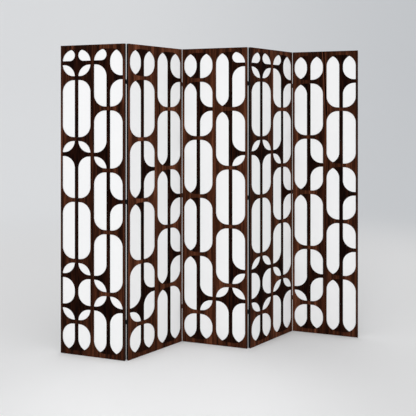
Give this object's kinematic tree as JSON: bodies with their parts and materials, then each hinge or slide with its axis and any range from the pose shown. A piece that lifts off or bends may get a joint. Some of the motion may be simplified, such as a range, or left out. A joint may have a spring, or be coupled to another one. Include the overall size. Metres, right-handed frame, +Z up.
{
  "type": "folding screen",
  "caption": "Free-standing zigzag folding screen; each hinged leaf is a black-edged board faced with a walnut and dark two-layer lattice of long round-cornered openings over white.",
  "frame": {"origin": "on the floor, under the middle of the whole screen as it stands", "axes": "+Z up; -Y is the patterned front; +X runs along the screen from leaf 1 to leaf 5; +Y is its shallow, front-to-back way"},
  "size_m": [1.7736, 0.216, 1.76],
  "materials": {
    "black_board": "satin black paint",
    "white_sheet": "smooth satin white",
    "dark_wood": "near-black brown stain, satin",
    "walnut_wood": "walnut brown, upright grain, satin",
    "black_steel": "black enamel"
  },
  "bodies": {
    "leaf_1": {"leaf_1_board": "black_board", "leaf_1_white_sheet": "white_sheet", "leaf_1_dark_lattice": "dark_wood", "leaf_1_walnut_lattice": "walnut_wood", "hinge_1_2_top_plate_on_leaf_1": "black_steel", "hinge_1_2_middle_plate_on_leaf_1": "black_steel", "hinge_1_2_bottom_plate_on_leaf_1": "black_steel"},
    "leaf_2": {"leaf_2_board": "black_board", "leaf_2_white_sheet": "white_sheet", "leaf_2_dark_lattice": "dark_wood", "leaf_2_walnut_lattice": "walnut_wood", "hinge_1_2_top_plate_on_leaf_2": "black_steel", "hinge_1_2_middle_plate_on_leaf_2": "black_steel", "hinge_1_2_bottom_plate_on_leaf_2": "black_steel", "hinge_2_3_top_plate_on_leaf_2": "black_steel", "hinge_2_3_middle_plate_on_leaf_2": "black_steel", "hinge_2_3_bottom_plate_on_leaf_2": "black_steel"},
    "leaf_3": {"leaf_3_board": "black_board", "leaf_3_white_sheet": "white_sheet", "leaf_3_dark_lattice": "dark_wood", "leaf_3_walnut_lattice": "walnut_wood", "hinge_2_3_top_plate_on_leaf_3": "black_steel", "hinge_2_3_middle_plate_on_leaf_3": "black_steel", "hinge_2_3_bottom_plate_on_leaf_3": "black_steel", "hinge_3_4_top_plate_on_leaf_3": "black_steel", "hinge_3_4_middle_plate_on_leaf_3": "black_steel", "hinge_3_4_bottom_plate_on_leaf_3": "black_steel"},
    "leaf_4": {"leaf_4_board": "black_board", "leaf_4_white_sheet": "white_sheet", "leaf_4_dark_lattice": "dark_wood", "leaf_4_walnut_lattice": "walnut_wood", "hinge_3_4_top_plate_on_leaf_4": "black_steel", "hinge_3_4_middle_plate_on_leaf_4": "black_steel", "hinge_3_4_bottom_plate_on_leaf_4": "black_steel", "hinge_4_5_top_plate_on_leaf_4": "black_steel", "hinge_4_5_middle_plate_on_leaf_4": "black_steel", "hinge_4_5_bottom_plate_on_leaf_4": "black_steel"},
    "leaf_5": {"leaf_5_board": "black_board", "leaf_5_white_sheet": "white_sheet", "leaf_5_dark_lattice": "dark_wood", "leaf_5_walnut_lattice": "walnut_wood", "hinge_4_5_top_plate_on_leaf_5": "black_steel", "hinge_4_5_middle_plate_on_leaf_5": "black_steel", "hinge_4_5_bottom_plate_on_leaf_5": "black_steel"}
  },
  "joints": [
    {"name": "hinge_line_2_3", "type": "hinge", "parent": "leaf_3", "child": "leaf_2", "pos_m": [-0.17733, 0.09517, 0.88], "axis": [0, 0, -1], "range_deg": [-119, 25]},
    {"name": "hinge_line_1_2", "type": "hinge", "parent": "leaf_2", "child": "leaf_1", "pos_m": [-0.53266, -0.09405, 0.88], "axis": [0, 0, 1], "range_deg": [-119, 25]},
    {"name": "hinge_line_3_4", "type": "hinge", "parent": "leaf_3", "child": "leaf_4", "pos_m": [0.17799, -0.09405, 0.88], "axis": [0, 0, -1], "range_deg": [-119, 25]},
    {"name": "hinge_line_4_5", "type": "hinge", "parent": "leaf_4", "child": "leaf_5", "pos_m": [0.53332, 0.09517, 0.88], "axis": [0, 0, 1], "range_deg": [-119, 25]}
  ]
}
